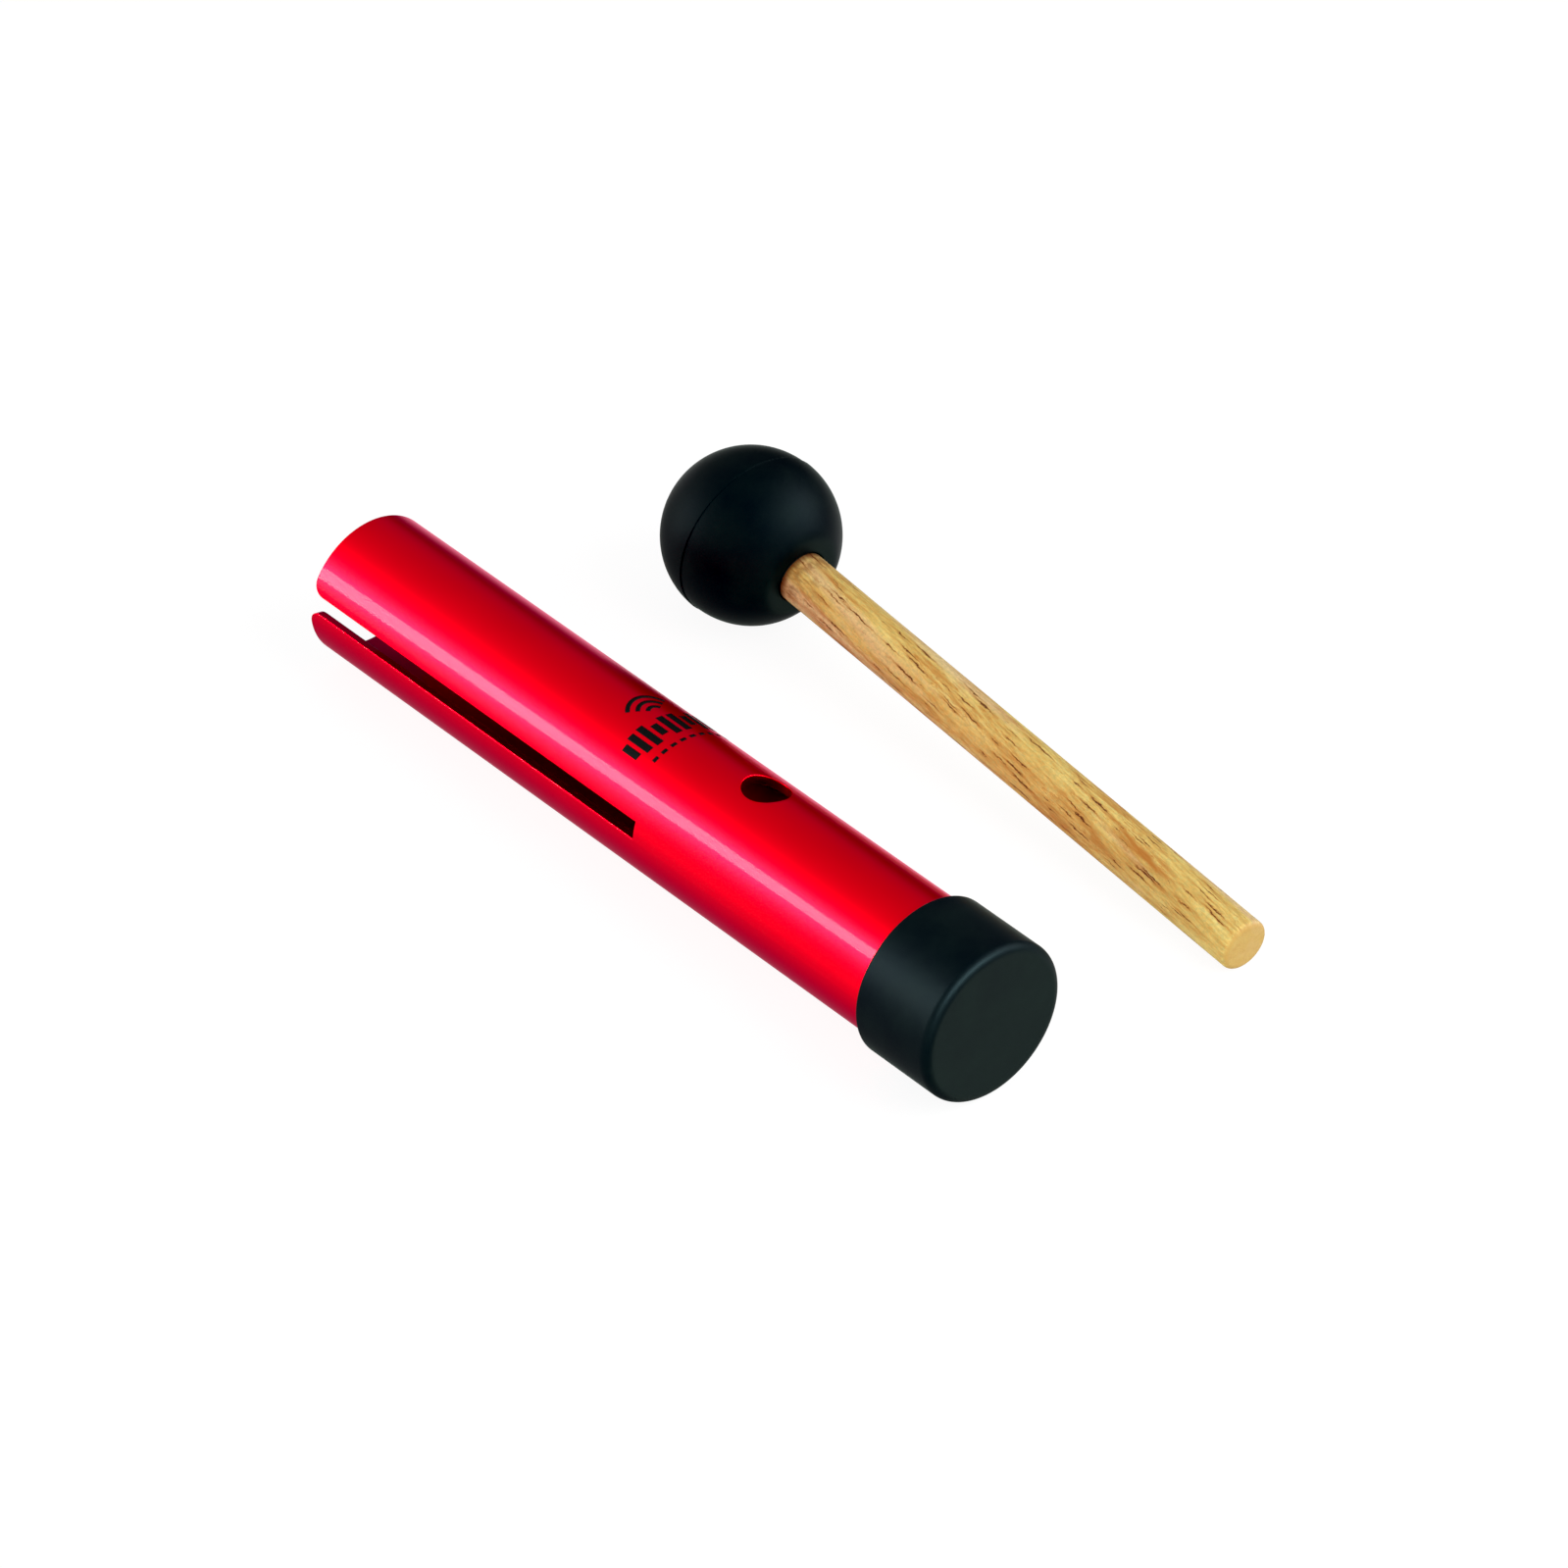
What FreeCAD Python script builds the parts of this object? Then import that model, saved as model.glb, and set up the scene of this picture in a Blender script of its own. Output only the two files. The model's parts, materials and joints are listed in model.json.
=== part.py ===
import FreeCAD, Part
import math
import os
import Sketcher

# Wah-wah tube with its beater.
#
# A metal tube is open at one end and sawn lengthwise there, so that it has two tines like a tuning
# fork. A rubber cap closes the other end, and a thumb hole between the slot and the cap is opened
# and shut to bend the note. The beater is a rubber ball pushed onto a wooden stick.
#
# Frame: millimetres, +Z up. Both pieces lie on the plane Z = 0, with the tube along X, its open end
# towards -X and its cap towards +X, and the beater beside it on the +Y side, its ball towards -X.
# The origin is on that plane, at the middle of the whole footprint.

SIZES = [
    # alias, value, what it is (millimetres and degrees)
    ("tube_diameter", 32.0, "outside of the tube"),
    ("tube_wall", 2.0, "thickness of the tube"),
    ("tube_length", 192.0, "open end to the end inside the cap"),
    ("tube_edge", 0.3, "break on the tube's sharp edges"),
    ("slot_width", 4.0, "saw cut between the tines"),
    ("outer_slot_length", 104.0, "open end to the root of the slot away from the beater"),
    ("inner_slot_length", 102.0, "open end to the root of the slot on the beater's side"),
    ("tine_corner", 3.0, "corner radius of each tine at the open end"),
    ("thumb_hole", 10.4, "diameter of the thumb hole"),
    ("thumb_hole_at", 123.3, "open end to the middle of the thumb hole"),
    ("cap_diameter", 35.9, "outside of the rubber cap"),
    ("cap_mouth_at", 174.1, "open end of the tube to the mouth of the cap"),
    ("cap_floor", 3.0, "rubber beyond the end of the tube"),
    ("cap_end_round", 2.0, "round of the cap's closed end"),
    ("cap_mouth_round", 0.5, "round of the cap's mouth"),
    ("ball_diameter", 38.3, "rubber ball of the beater"),
    ("ball_flat", 16.7, "middle of the ball to the flat round its socket"),
    ("stick_diameter", 11.5, "wooden stick of the beater"),
    ("stick_reach", 156.7, "middle of the ball to the butt of the stick"),
    ("stick_depth", 8.0, "how far the stick passes the middle of the ball"),
    ("stick_butt_round", 1.2, "round of the stick's butt"),
    ("stick_nose_chamfer", 0.6, "chamfer of the stick's end inside the ball"),
    ("tube_mouth_x", -99.44, "X of the tube's open end"),
    ("tube_side", -34.95, "Y of the tube's axis"),
    ("tube_roll", 12.0, "turn of the thumb hole away from straight up, towards the beater"),
    ("ball_x", -56.85, "X of the middle of the ball"),
    ("ball_side", 33.70, "Y of the middle of the ball"),
    ("stick_turn", -1.42, "turn of the stick about Z, away from the X axis"),
]

SKETCH_ORIGIN = (-1, 1)
ACROSS_AXIS = -1
UP_AXIS = -2
START, END, CENTRE = 1, 2, 3
TOUCHING = 1e-4

document = FreeCAD.newDocument("wah_wah_tube")
sizes = document.addObject("Spreadsheet::Sheet", "sizes")
for row, (alias, number, meaning) in enumerate(SIZES, start=1):
    sizes.set(f"A{row}", meaning)
    sizes.set(f"B{row}", str(number))
    sizes.setAlias(f"B{row}", alias)
document.recompute()


def value(expression):
    """The number that an expression in the sheet's aliases comes to."""
    return float(sizes.evalExpression(expression))


def new_body(label):
    body = document.addObject("PartDesign::Body", label)
    body.Label = label
    return body


def new_sketch(body, name, plane_role):
    """An empty sketch on one of the body's own origin planes."""
    sketch = body.newObject("Sketcher::SketchObject", name)
    plane = next(item for item in body.Origin.OriginFeatures if item.Role == plane_role)
    sketch.AttachmentSupport = (plane, [""])
    sketch.MapMode = "FlatFace"
    return sketch


def bind_point(sketch, point, across, up):
    """Hold a sketch point at two coordinates, each an expression, or "0" for a point on an axis."""
    for kind, expression, axis in (("DistanceX", across, UP_AXIS), ("DistanceY", up, ACROSS_AXIS)):
        if expression == "0":
            sketch.addConstraint(Sketcher.Constraint("PointOnObject", *point, axis))
            continue
        rule = Sketcher.Constraint(kind, *SKETCH_ORIGIN, *point, value(expression))
        index = sketch.addConstraint(rule)
        sketch.setExpression(f"Constraints[{index}]", expression)


def add_circle(sketch, across, diameter):
    """A circle with its centre on the sketch's first axis."""
    middle = FreeCAD.Vector(0 if across == "0" else value(across), 0, 0)
    normal = FreeCAD.Vector(0, 0, 1)
    circle = sketch.addGeometry(Part.Circle(middle, normal, value(diameter) / 2))
    bind_point(sketch, (circle, CENTRE), across, "0")
    rule = sketch.addConstraint(Sketcher.Constraint("Diameter", circle, value(diameter)))
    sketch.setExpression(f"Constraints[{rule}]", diameter)


def add_outline(sketch, corners):
    """A closed outline of straight lines through corners given as pairs of expressions."""
    spots = [FreeCAD.Vector(value(across), value(up), 0) for across, up in corners]
    lines = [
        sketch.addGeometry(Part.LineSegment(spot, spots[(index + 1) % len(spots)]))
        for index, spot in enumerate(spots)
    ]
    for index, line in enumerate(lines):
        bind_point(sketch, (line, START), *corners[index])
        follower = lines[(index + 1) % len(lines)]
        sketch.addConstraint(Sketcher.Constraint("Coincident", line, END, follower, START))


def revolve(body, sketch, name):
    """Turn a half section about the body's X axis."""
    turned = body.newObject("PartDesign::Revolution", name)
    turned.Profile = sketch
    turned.ReferenceAxis = (sketch, ["H_Axis"])
    turned.Angle = 360
    document.recompute()
    return turned


def break_edges(body, kind, name, size, wanted):
    """Round or chamfer the edges of the body that pass a test."""
    base = body.Tip
    names = [f"Edge{index}" for index, edge in enumerate(base.Shape.Edges, start=1) if wanted(edge)]
    if not names:
        raise RuntimeError(f"{name}: no edge matches")
    feature = body.newObject(f"PartDesign::{kind}", name)
    feature.Base = (base, names)
    feature.setExpression("Radius" if kind == "Fillet" else "Size", size)
    document.recompute()
    if feature.Shape.isNull() or not feature.Shape.isValid():
        raise RuntimeError(f"{name}: failed on {names}")


def check_cut(before, feature):
    """A pocket that points the wrong way cuts nothing, so the volume has to drop."""
    document.recompute()
    if feature.Shape.Volume > before - 1:
        raise RuntimeError(f"{feature.Name} removed no material")


def circle_at(edge, along, radius):
    """Whether an edge is part of a circle of a radius about the X axis at a place along it."""
    curve = edge.Curve
    if not isinstance(curve, Part.Circle):
        return False
    return abs(curve.Radius - radius) < TOUCHING and abs(curve.Center.x - along) < TOUCHING


def saw_wall(body, name, towards_plus_y):
    """One wall of a slot, sawn from the open end along the tube to that slot's own length."""
    outline = new_sketch(body, f"{name}_outline", "XZ_Plane")
    root = f"sizes.{name}_length"
    add_outline(outline, [
        ("-sizes.slot_width", "-sizes.slot_width / 2"),
        (root, "-sizes.slot_width / 2"),
        (root, "sizes.slot_width / 2"),
        ("-sizes.slot_width", "sizes.slot_width / 2"),
    ])
    before = body.Tip.Shape.Volume
    slot = body.newObject("PartDesign::Pocket", name)
    slot.Profile = outline
    slot.Type = "ThroughAll"
    slot.Reversed = not towards_plus_y
    check_cut(before, slot)


# slotted_tube: lies along its own X, with the open end at X = 0, the inner slot at +Y, the outer slot
# at -Y and the thumb hole on top. The saw ran a little less deep in the wall on the beater's side.
def make_slotted_tube():
    body = new_body("slotted_tube")
    section = new_sketch(body, "tube_section", "YZ_Plane")
    add_circle(section, "0", "sizes.tube_diameter")
    add_circle(section, "0", "sizes.tube_diameter - 2 * sizes.tube_wall")
    wall = body.newObject("PartDesign::Pad", "tube_pad")
    wall.Profile = section
    wall.setExpression("Length", "sizes.tube_length")
    document.recompute()

    saw_wall(body, "inner_slot", towards_plus_y=True)
    saw_wall(body, "outer_slot", towards_plus_y=False)
    slotted_volume = body.Tip.Shape.Volume

    thumb_outline = new_sketch(body, "thumb_outline", "XY_Plane")
    add_circle(thumb_outline, "sizes.thumb_hole_at", "sizes.thumb_hole")
    thumb_hole = body.newObject("PartDesign::Pocket", "thumb_pocket")
    thumb_hole.Profile = thumb_outline
    thumb_hole.Type = "ThroughAll"
    thumb_hole.Reversed = True
    check_cut(slotted_volume, thumb_hole)

    half_slot = value("sizes.slot_width / 2")
    outside = value("sizes.tube_diameter / 2")

    def is_tine_corner(edge):
        """Whether an edge runs through the wall at the open end, along a side of a slot."""
        extent = edge.BoundBox
        at_open_end = max(abs(extent.XMin), abs(extent.XMax)) < TOUCHING
        beside_slot = abs(abs(extent.ZMin) - half_slot) < TOUCHING
        return at_open_end and beside_slot and extent.ZLength < TOUCHING

    break_edges(body, "Fillet", "tine_corners", "sizes.tine_corner", is_tine_corner)

    def is_outer_rim(edge):
        return circle_at(edge, 0, outside)

    break_edges(body, "Fillet", "mouth_edges", "sizes.tube_edge", is_outer_rim)
    return body


# end_cap: a cup on the tube's own frame, its mouth towards the open end of the tube.
def make_end_cap():
    body = new_body("end_cap")
    half_section = new_sketch(body, "cap_section", "XY_Plane")
    add_outline(half_section, [
        ("sizes.cap_mouth_at", "sizes.tube_diameter / 2"),
        ("sizes.cap_mouth_at", "sizes.cap_diameter / 2"),
        ("sizes.tube_length + sizes.cap_floor", "sizes.cap_diameter / 2"),
        ("sizes.tube_length + sizes.cap_floor", "0"),
        ("sizes.tube_length", "0"),
        ("sizes.tube_length", "sizes.tube_diameter / 2"),
    ])
    revolve(body, half_section, "cap_cup")
    outside = value("sizes.cap_diameter / 2")
    closed_end = value("sizes.tube_length + sizes.cap_floor")
    mouth = value("sizes.cap_mouth_at")
    break_edges(body, "Fillet", "cap_end_edge", "sizes.cap_end_round",
                lambda edge: circle_at(edge, closed_end, outside))
    break_edges(body, "Fillet", "cap_mouth_edge", "sizes.cap_mouth_round",
                lambda edge: circle_at(edge, mouth, outside))
    return body


# beater_stick: a dowel along the beater's own X, measured from the middle of the ball.
def make_beater_stick():
    body = new_body("beater_stick")
    half_section = new_sketch(body, "stick_section", "XY_Plane")
    add_outline(half_section, [
        ("-sizes.stick_depth", "0"),
        ("-sizes.stick_depth", "sizes.stick_diameter / 2"),
        ("sizes.stick_reach", "sizes.stick_diameter / 2"),
        ("sizes.stick_reach", "0"),
    ])
    revolve(body, half_section, "dowel")
    radius = value("sizes.stick_diameter / 2")
    butt = value("sizes.stick_reach")
    nose = value("-sizes.stick_depth")
    break_edges(body, "Fillet", "butt_edge", "sizes.stick_butt_round",
                lambda edge: circle_at(edge, butt, radius))
    break_edges(body, "Chamfer", "nose_edge", "sizes.stick_nose_chamfer",
                lambda edge: circle_at(edge, nose, radius))
    return body


# beater_head: a ball with a blind socket that holds the stick, and a flat round the socket's mouth.
def make_beater_head():
    body = new_body("beater_head")
    ball = body.newObject("PartDesign::AdditiveSphere", "ball")
    ball.setExpression("Radius", "sizes.ball_diameter / 2")
    document.recompute()
    half_section = new_sketch(body, "socket_section", "XY_Plane")
    add_outline(half_section, [
        ("-sizes.stick_depth", "0"),
        ("-sizes.stick_depth", "sizes.stick_diameter / 2"),
        ("sizes.ball_flat", "sizes.stick_diameter / 2"),
        ("sizes.ball_flat", "sizes.ball_diameter / 2"),
        ("sizes.ball_diameter", "sizes.ball_diameter / 2"),
        ("sizes.ball_diameter", "0"),
    ])
    socket = body.newObject("PartDesign::Groove", "socket")
    socket.Profile = half_section
    socket.ReferenceAxis = (half_section, ["H_Axis"])
    socket.Angle = 360
    check_cut(ball.Shape.Volume, socket)
    return body


def tip_angle(reach, offset, rise):
    """The angle, in degrees, at which reach * sin(angle) + offset * cos(angle) equals rise."""
    whole = math.asin(rise / math.hypot(reach, offset))
    return math.degrees(whole - math.atan2(offset, reach))


def tube_placement():
    """The tube rests on the rim of its open end and on the edge of the fatter cap."""
    tube_radius = value("sizes.tube_diameter / 2")
    cap_radius = value("sizes.cap_diameter / 2")
    edge = value("sizes.cap_mouth_round")
    reach = value("sizes.cap_mouth_at") + edge
    rise = tip_angle(reach, tube_radius - cap_radius + edge, edge)
    height = tube_radius * math.cos(math.radians(rise))
    base = FreeCAD.Vector(value("sizes.tube_mouth_x"), value("sizes.tube_side"), height)
    return FreeCAD.Placement(base, FreeCAD.Rotation(0, -rise, -value("sizes.tube_roll")))


def beater_placement():
    """The beater rests on its ball and on the lower edge of its butt."""
    ball_radius = value("sizes.ball_diameter / 2")
    edge = value("sizes.stick_butt_round")
    reach = value("sizes.stick_reach") - edge
    offset = value("sizes.stick_diameter / 2") - edge
    dip = tip_angle(reach, offset, ball_radius - edge)
    base = FreeCAD.Vector(value("sizes.ball_x"), value("sizes.ball_side"), ball_radius)
    return FreeCAD.Placement(base, FreeCAD.Rotation(value("sizes.stick_turn"), dip, 0))


pieces = [make_slotted_tube(), make_end_cap(), make_beater_stick(), make_beater_head()]
for piece in pieces[:2]:
    piece.Placement = tube_placement()
for piece in pieces[2:]:
    piece.Placement = beater_placement()
document.recompute()

for item in document.Objects:
    if "Invalid" in item.State or "Error" in item.State:
        raise RuntimeError(f"{item.Name} is {item.State}")

os.makedirs("parts", exist_ok=True)
whole = FreeCAD.BoundBox()
for piece in pieces:
    if piece.Shape.isNull() or not piece.Shape.isValid():
        raise RuntimeError(f"{piece.Label} has no valid shape")
    whole.add(piece.Shape.optimalBoundingBox(False))
    piece.Shape.exportStep(f"parts/{piece.Label}.step")
    print(f"{piece.Label}: {len(piece.Shape.Solids)} solid, {piece.Shape.Volume / 1000:.2f} cm3")
print(f"extents {whole.XLength:.2f} x {whole.YLength:.2f} x {whole.ZLength:.2f} mm")
print(f"middle {whole.Center.x:.3f}, {whole.Center.y:.3f}, lowest {whole.ZMin:.3f}")
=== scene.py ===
import json
import math

import bpy
from mathutils import Matrix, Vector


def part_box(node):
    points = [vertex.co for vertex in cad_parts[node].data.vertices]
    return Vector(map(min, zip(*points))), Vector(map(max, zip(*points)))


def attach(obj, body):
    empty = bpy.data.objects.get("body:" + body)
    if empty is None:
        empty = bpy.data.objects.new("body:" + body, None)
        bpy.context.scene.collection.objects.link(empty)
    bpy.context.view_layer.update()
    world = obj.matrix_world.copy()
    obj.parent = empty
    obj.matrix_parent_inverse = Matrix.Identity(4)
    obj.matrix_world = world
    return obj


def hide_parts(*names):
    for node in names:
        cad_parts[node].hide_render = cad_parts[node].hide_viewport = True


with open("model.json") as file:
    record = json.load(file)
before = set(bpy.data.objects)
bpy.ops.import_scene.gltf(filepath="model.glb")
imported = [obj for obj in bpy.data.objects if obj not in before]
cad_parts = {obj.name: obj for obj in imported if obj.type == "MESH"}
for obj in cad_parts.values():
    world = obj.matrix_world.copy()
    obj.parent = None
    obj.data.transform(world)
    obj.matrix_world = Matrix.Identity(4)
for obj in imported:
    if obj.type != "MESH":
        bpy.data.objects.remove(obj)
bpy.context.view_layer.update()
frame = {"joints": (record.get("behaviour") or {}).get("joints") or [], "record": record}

# Wah-wah tube and beater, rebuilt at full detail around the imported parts. Metres throughout.
# Each piece is shaped in the frame of its own axis and then laid where the record's mounts are.

MM = 0.001
MOUNTS = {mount["name"]: mount for mount in frame["record"]["mounts"]}


def mount_point(name):
    return Vector(MOUNTS[name]["pos_m"])


def mount_axis(name):
    return Vector(MOUNTS[name]["axis"]).normalized()


def mount_size(name, key):
    return MOUNTS[name]["dims"][key] * MM


# ---------------------------------------------------------------- sizes
# The tube, along its axis from the middle of its open mouth.
TUBE_RADIUS = mount_size("tube_grip", "r_mm")
BORE_RADIUS = mount_size("tube_mouth", "r_mm")
TUBE_LENGTH = mount_size("tube_mouth", "length_mm")
TUBE_ROLL = math.radians(12)
EDGE = 0.15 * MM
SLOT_HALF = 2 * MM
OUTER_SLOT = 104 * MM
INNER_SLOT = 102 * MM
TINE_CORNER = 3 * MM
HOLE_AT = 123.3 * MM
HOLE_RADIUS = 5.2 * MM

# The cap, from the tube's mouth too. Its mouth is the end that the tube goes into.
CAP_RADIUS = mount_size("cap_barrel", "r_mm")
CAP_END = (mount_point("cap_end") - mount_point("tube_mouth")).length
CAP_MOUTH = 174.1 * MM
CAP_MOUTH_CHAMFER = 0.2 * MM
CAP_MOUTH_ROUND = 0.5 * MM
CAP_END_ROUND = 2 * MM

# The beater, along the stick from the middle of the ball.
STICK_RADIUS = mount_size("stick_grip", "r_mm")
GRIP_FROM_BALL = 100 * MM
BALL_CENTRE = mount_point("stick_grip") - mount_axis("stick_grip") * GRIP_FROM_BALL
STICK_REACH = (Vector(frame["joints"][0]["pos_m"]) - BALL_CENTRE).length
STICK_DEPTH = 8 * MM
STICK_NOSE_CHAMFER = 0.6 * MM
BUTT_ROUND = 1.2 * MM
BALL_LOW, BALL_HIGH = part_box("beater_head")
BALL_RADIUS = (BALL_HIGH.z - BALL_LOW.z) / 2
PARTING_GROOVE = 0.16 * MM
GROOVE_DEPTH = 1.6 * PARTING_GROOVE
PARTING_STEP = 0.25 * MM
# Round the socket: the flat's place and its soft edge, the gap beside the stick and the lip's depth.
SOCKET_FLAT = 16.7 * MM
FLAT_EASE = 0.3 * MM
SOCKET_GAP = 0.15 * MM
SOCKET_LIP = 0.25 * MM


def laid_along(origin, axis, roll):
    """A frame whose X is the given axis, whose Z points up, turned by roll about X."""
    side = Vector((0, 0, 1)).cross(axis).normalized()
    up = axis.cross(side)
    turned = Matrix((axis, side, up)).transposed().to_4x4()
    return Matrix.Translation(origin) @ turned @ Matrix.Rotation(roll, 4, "X")


TUBE_FRAME = laid_along(mount_point("tube_mouth"), mount_axis("cap_end"), -TUBE_ROLL)
BEATER_FRAME = laid_along(BALL_CENTRE, mount_axis("stick_grip"), 0)


# ---------------------------------------------------------------- mesh helpers
def add_mesh(name, points, faces, lie, material):
    """An object from points in its own frame. The own-frame place is kept in the attribute 'own'."""
    mesh = bpy.data.meshes.new(name)
    mesh.from_pydata([lie @ point for point in points], [], faces)
    own = mesh.attributes.new("own", "FLOAT_VECTOR", "POINT")
    for item, point in zip(own.data, points):
        item.vector = point
    mesh.materials.append(material)
    thing = bpy.data.objects.new(name, mesh)
    bpy.context.scene.collection.objects.link(thing)
    return thing


def add_piece(name, points, faces, lie, material, body, node=None):
    """A smooth-shaded piece that moves with a body and stands in for a CAD node, where one is named."""
    piece = add_mesh(name, points, faces, lie, material)
    piece.data.shade_smooth()
    piece.modifiers.new("even_normals", "WEIGHTED_NORMAL")
    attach(piece, body)
    if node:
        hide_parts(node)
    return piece


def quarter(centre, radius, start, end, steps):
    """Points of an arc in a profile, as (along, out) pairs; angles in degrees from the X axis."""
    turns = [math.radians(start + (end - start) * step / steps) for step in range(steps + 1)]
    return [(centre[0] + radius * math.cos(turn), centre[1] + radius * math.sin(turn)) for turn in turns]


def lathe(profile, segments):
    """Turn a profile of (along, out) pairs about X. It starts and ends on the axis."""
    points, rings = [], []
    for along, out in profile:
        if out == 0:
            rings.append([len(points)] * segments)
            points.append(Vector((along, 0, 0)))
            continue
        rings.append(list(range(len(points), len(points) + segments)))
        for step in range(segments):
            turn = 2 * math.pi * step / segments
            points.append(Vector((along, out * math.cos(turn), out * math.sin(turn))))
    faces = []
    for low, high in zip(rings, rings[1:]):
        for step in range(segments):
            after = (step + 1) % segments
            corners = (low[step], low[after], high[after], high[step])
            faces.append(tuple(dict.fromkeys(corners)))
    return points, faces


def thick_shell(faces, place, levels):
    """A closed shell from a sheet of faces over named nodes.

    place(node, inset, radius) gives a node's point. The first level is the outer skin, the last the
    inner skin, and the ones between carry the wall round every free edge of the sheet."""
    points, numbers = [], {}

    def number(node, level):
        if (node, level) not in numbers:
            numbers[node, level] = len(points)
            points.append(place(node, *levels[level]))
        return numbers[node, level]

    last = len(levels) - 1
    made, edges = [], {}
    for face in faces:
        made.append(tuple(number(node, 0) for node in face))
        made.append(tuple(number(node, last) for node in reversed(face)))
        edges.update(dict.fromkeys(zip(face, face[1:] + face[:1])))
    for start, end in edges:
        if (end, start) in edges:
            continue
        for level in range(last):
            near, far = (start, level), (end, level)
            made.append((number(*far), number(*near), number(start, level + 1), number(end, level + 1)))
    return points, made


# ---------------------------------------------------------------- the slotted tube
CORNER_STEPS = 8
TINE_COLUMNS = 100
SLOT_COLUMNS = 4
OUTER_EDGE_STEPS = 3
INNER_EDGE_STEPS = 2
FRONT_ROWS_MM = (4, 7, 14, 28, 50, 75, 95)
REAR_ROW = 150 * MM
ROOT_EDGE = 0.6 * MM
PATCH_COLUMNS = 24
PATCH_ROWS = 6
PATCH_HALF = 8.4 * MM
PATCH_RINGS = 6


def tube_columns():
    """Columns round the tube, as functions of inset and radius giving (angle, start of the metal).

    Angles run from the +Y slot over the thumb hole at 90 degrees to the -Y slot and back below. A column
    over a slot has no start, because its first rows are open."""
    def corner(step, base, mirrored):
        lean = math.radians(90 * step / CORNER_STEPS)

        def at(inset, radius):
            reach = TINE_CORNER - inset
            height = SLOT_HALF + TINE_CORNER - reach * math.cos(lean)
            angle = math.asin(height / radius)
            return base + (math.pi - angle if mirrored else angle), TINE_CORNER - reach * math.sin(lean)
        return at

    def middle(step, base):
        def at(inset, radius):
            first = math.asin((SLOT_HALF + TINE_CORNER) / radius)
            return base + first + (math.pi - 2 * first) * step / TINE_COLUMNS, inset
        return at

    def across_slot(step, base):
        def at(inset, radius):
            edge = math.asin((SLOT_HALF + inset) / radius)
            return base + math.pi + edge * (2 * step / SLOT_COLUMNS - 1), None
        return at

    columns = []
    for base in (0, math.pi):
        columns += [corner(step, base, False) for step in range(CORNER_STEPS + 1)]
        columns += [middle(step, base) for step in range(1, TINE_COLUMNS)]
        columns += [corner(step, base, True) for step in range(CORNER_STEPS, -1, -1)]
        columns += [across_slot(step, base) for step in range(1, SLOT_COLUMNS)]
    return columns


def tube_rows():
    """Rows along the tube after the first, which follows the rounded mouth.

    Each row is (place, share): the share is how much of an edge's inset moves it along the tube."""
    step = PATCH_HALF / PATCH_ROWS
    rows = [(along * MM, 0) for along in FRONT_ROWS_MM]
    for root in (INNER_SLOT, OUTER_SLOT):
        rows += [(root - ROOT_EDGE, 0), (root, 1), (root + ROOT_EDGE, 0)]
    rows += [(HOLE_AT + step * row, 0) for row in range(-PATCH_ROWS, PATCH_ROWS + 1)]
    rows += [(REAR_ROW, 0), (TUBE_LENGTH, -1)]
    return rows


def make_tube(material):
    """A sheet of quads wrapped round the tube and given a wall.

    It is open over the slots, and a patch of it gives way to rings that close in on the thumb hole."""
    columns, rows = tube_columns(), tube_rows()
    per_tine = 2 * (CORNER_STEPS + 1) + TINE_COLUMNS - 1
    per_half = per_tine + SLOT_COLUMNS - 1
    outer_root, inner_root = [1 + rows.index((root, 1)) for root in (OUTER_SLOT, INNER_SLOT)]
    patch_top = next(index for index, row in enumerate(rows, start=1) if row[0] >= HOLE_AT - PATCH_HALF)
    patch_end = patch_top + 2 * PATCH_ROWS
    top_column = CORNER_STEPS + TINE_COLUMNS // 2
    patch_left = top_column - PATCH_COLUMNS
    patch_right = top_column + PATCH_COLUMNS

    def grid_point(column, row, inset, radius):
        angle, start = columns[column](inset, radius)
        along = start if row == 0 else rows[row - 1][0] + rows[row - 1][1] * inset
        return Vector((along, radius * math.cos(angle), radius * math.sin(angle)))

    rim = [(patch_left + step, patch_top) for step in range(2 * PATCH_COLUMNS)]
    rim += [(patch_right, patch_top + step) for step in range(2 * PATCH_ROWS)]
    rim += [(patch_right - step, patch_end) for step in range(2 * PATCH_COLUMNS)]
    rim += [(patch_left, patch_end - step) for step in range(2 * PATCH_ROWS)]

    def place(node, inset, radius):
        if node[0] != "ring":
            return grid_point(*node, inset, radius)
        corner = grid_point(*rim[node[1]], inset, radius)
        turn = math.atan2(corner.y, corner.x - HOLE_AT)
        reach = HOLE_RADIUS + inset
        share = node[2] / PATCH_RINGS
        along = corner.x + (HOLE_AT + reach * math.cos(turn) - corner.x) * share
        across = corner.y + (reach * math.sin(turn) - corner.y) * share
        return Vector((along, across, math.sqrt(radius ** 2 - across ** 2)))

    faces = []
    for column in range(len(columns)):
        after = (column + 1) % len(columns)
        over_slot = column % per_half >= per_tine - 1
        root_row = outer_root if column < per_half else inner_root
        for row in range(root_row if over_slot else 0, len(rows)):
            if patch_left <= column < patch_right and patch_top <= row < patch_end:
                continue
            faces.append(((column, row), (after, row), (after, row + 1), (column, row + 1)))
    for spot in range(len(rim)):
        after = (spot + 1) % len(rim)
        for ring in range(PATCH_RINGS):
            inner = [("ring", after, ring + 1), ("ring", spot, ring + 1)]
            outer = [("ring", spot, ring), ("ring", after, ring)] if ring else [rim[spot], rim[after]]
            faces.append(tuple(outer + inner))

    levels = quarter((EDGE, TUBE_RADIUS - EDGE), EDGE, 90, 180, OUTER_EDGE_STEPS)
    levels += quarter((EDGE, BORE_RADIUS + EDGE), EDGE, 180, 270, INNER_EDGE_STEPS)
    points, made = thick_shell(faces, place, levels)
    return add_piece("slotted_tube_shell", points, made, TUBE_FRAME, material, "tube",
                     "slotted_tube")


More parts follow.
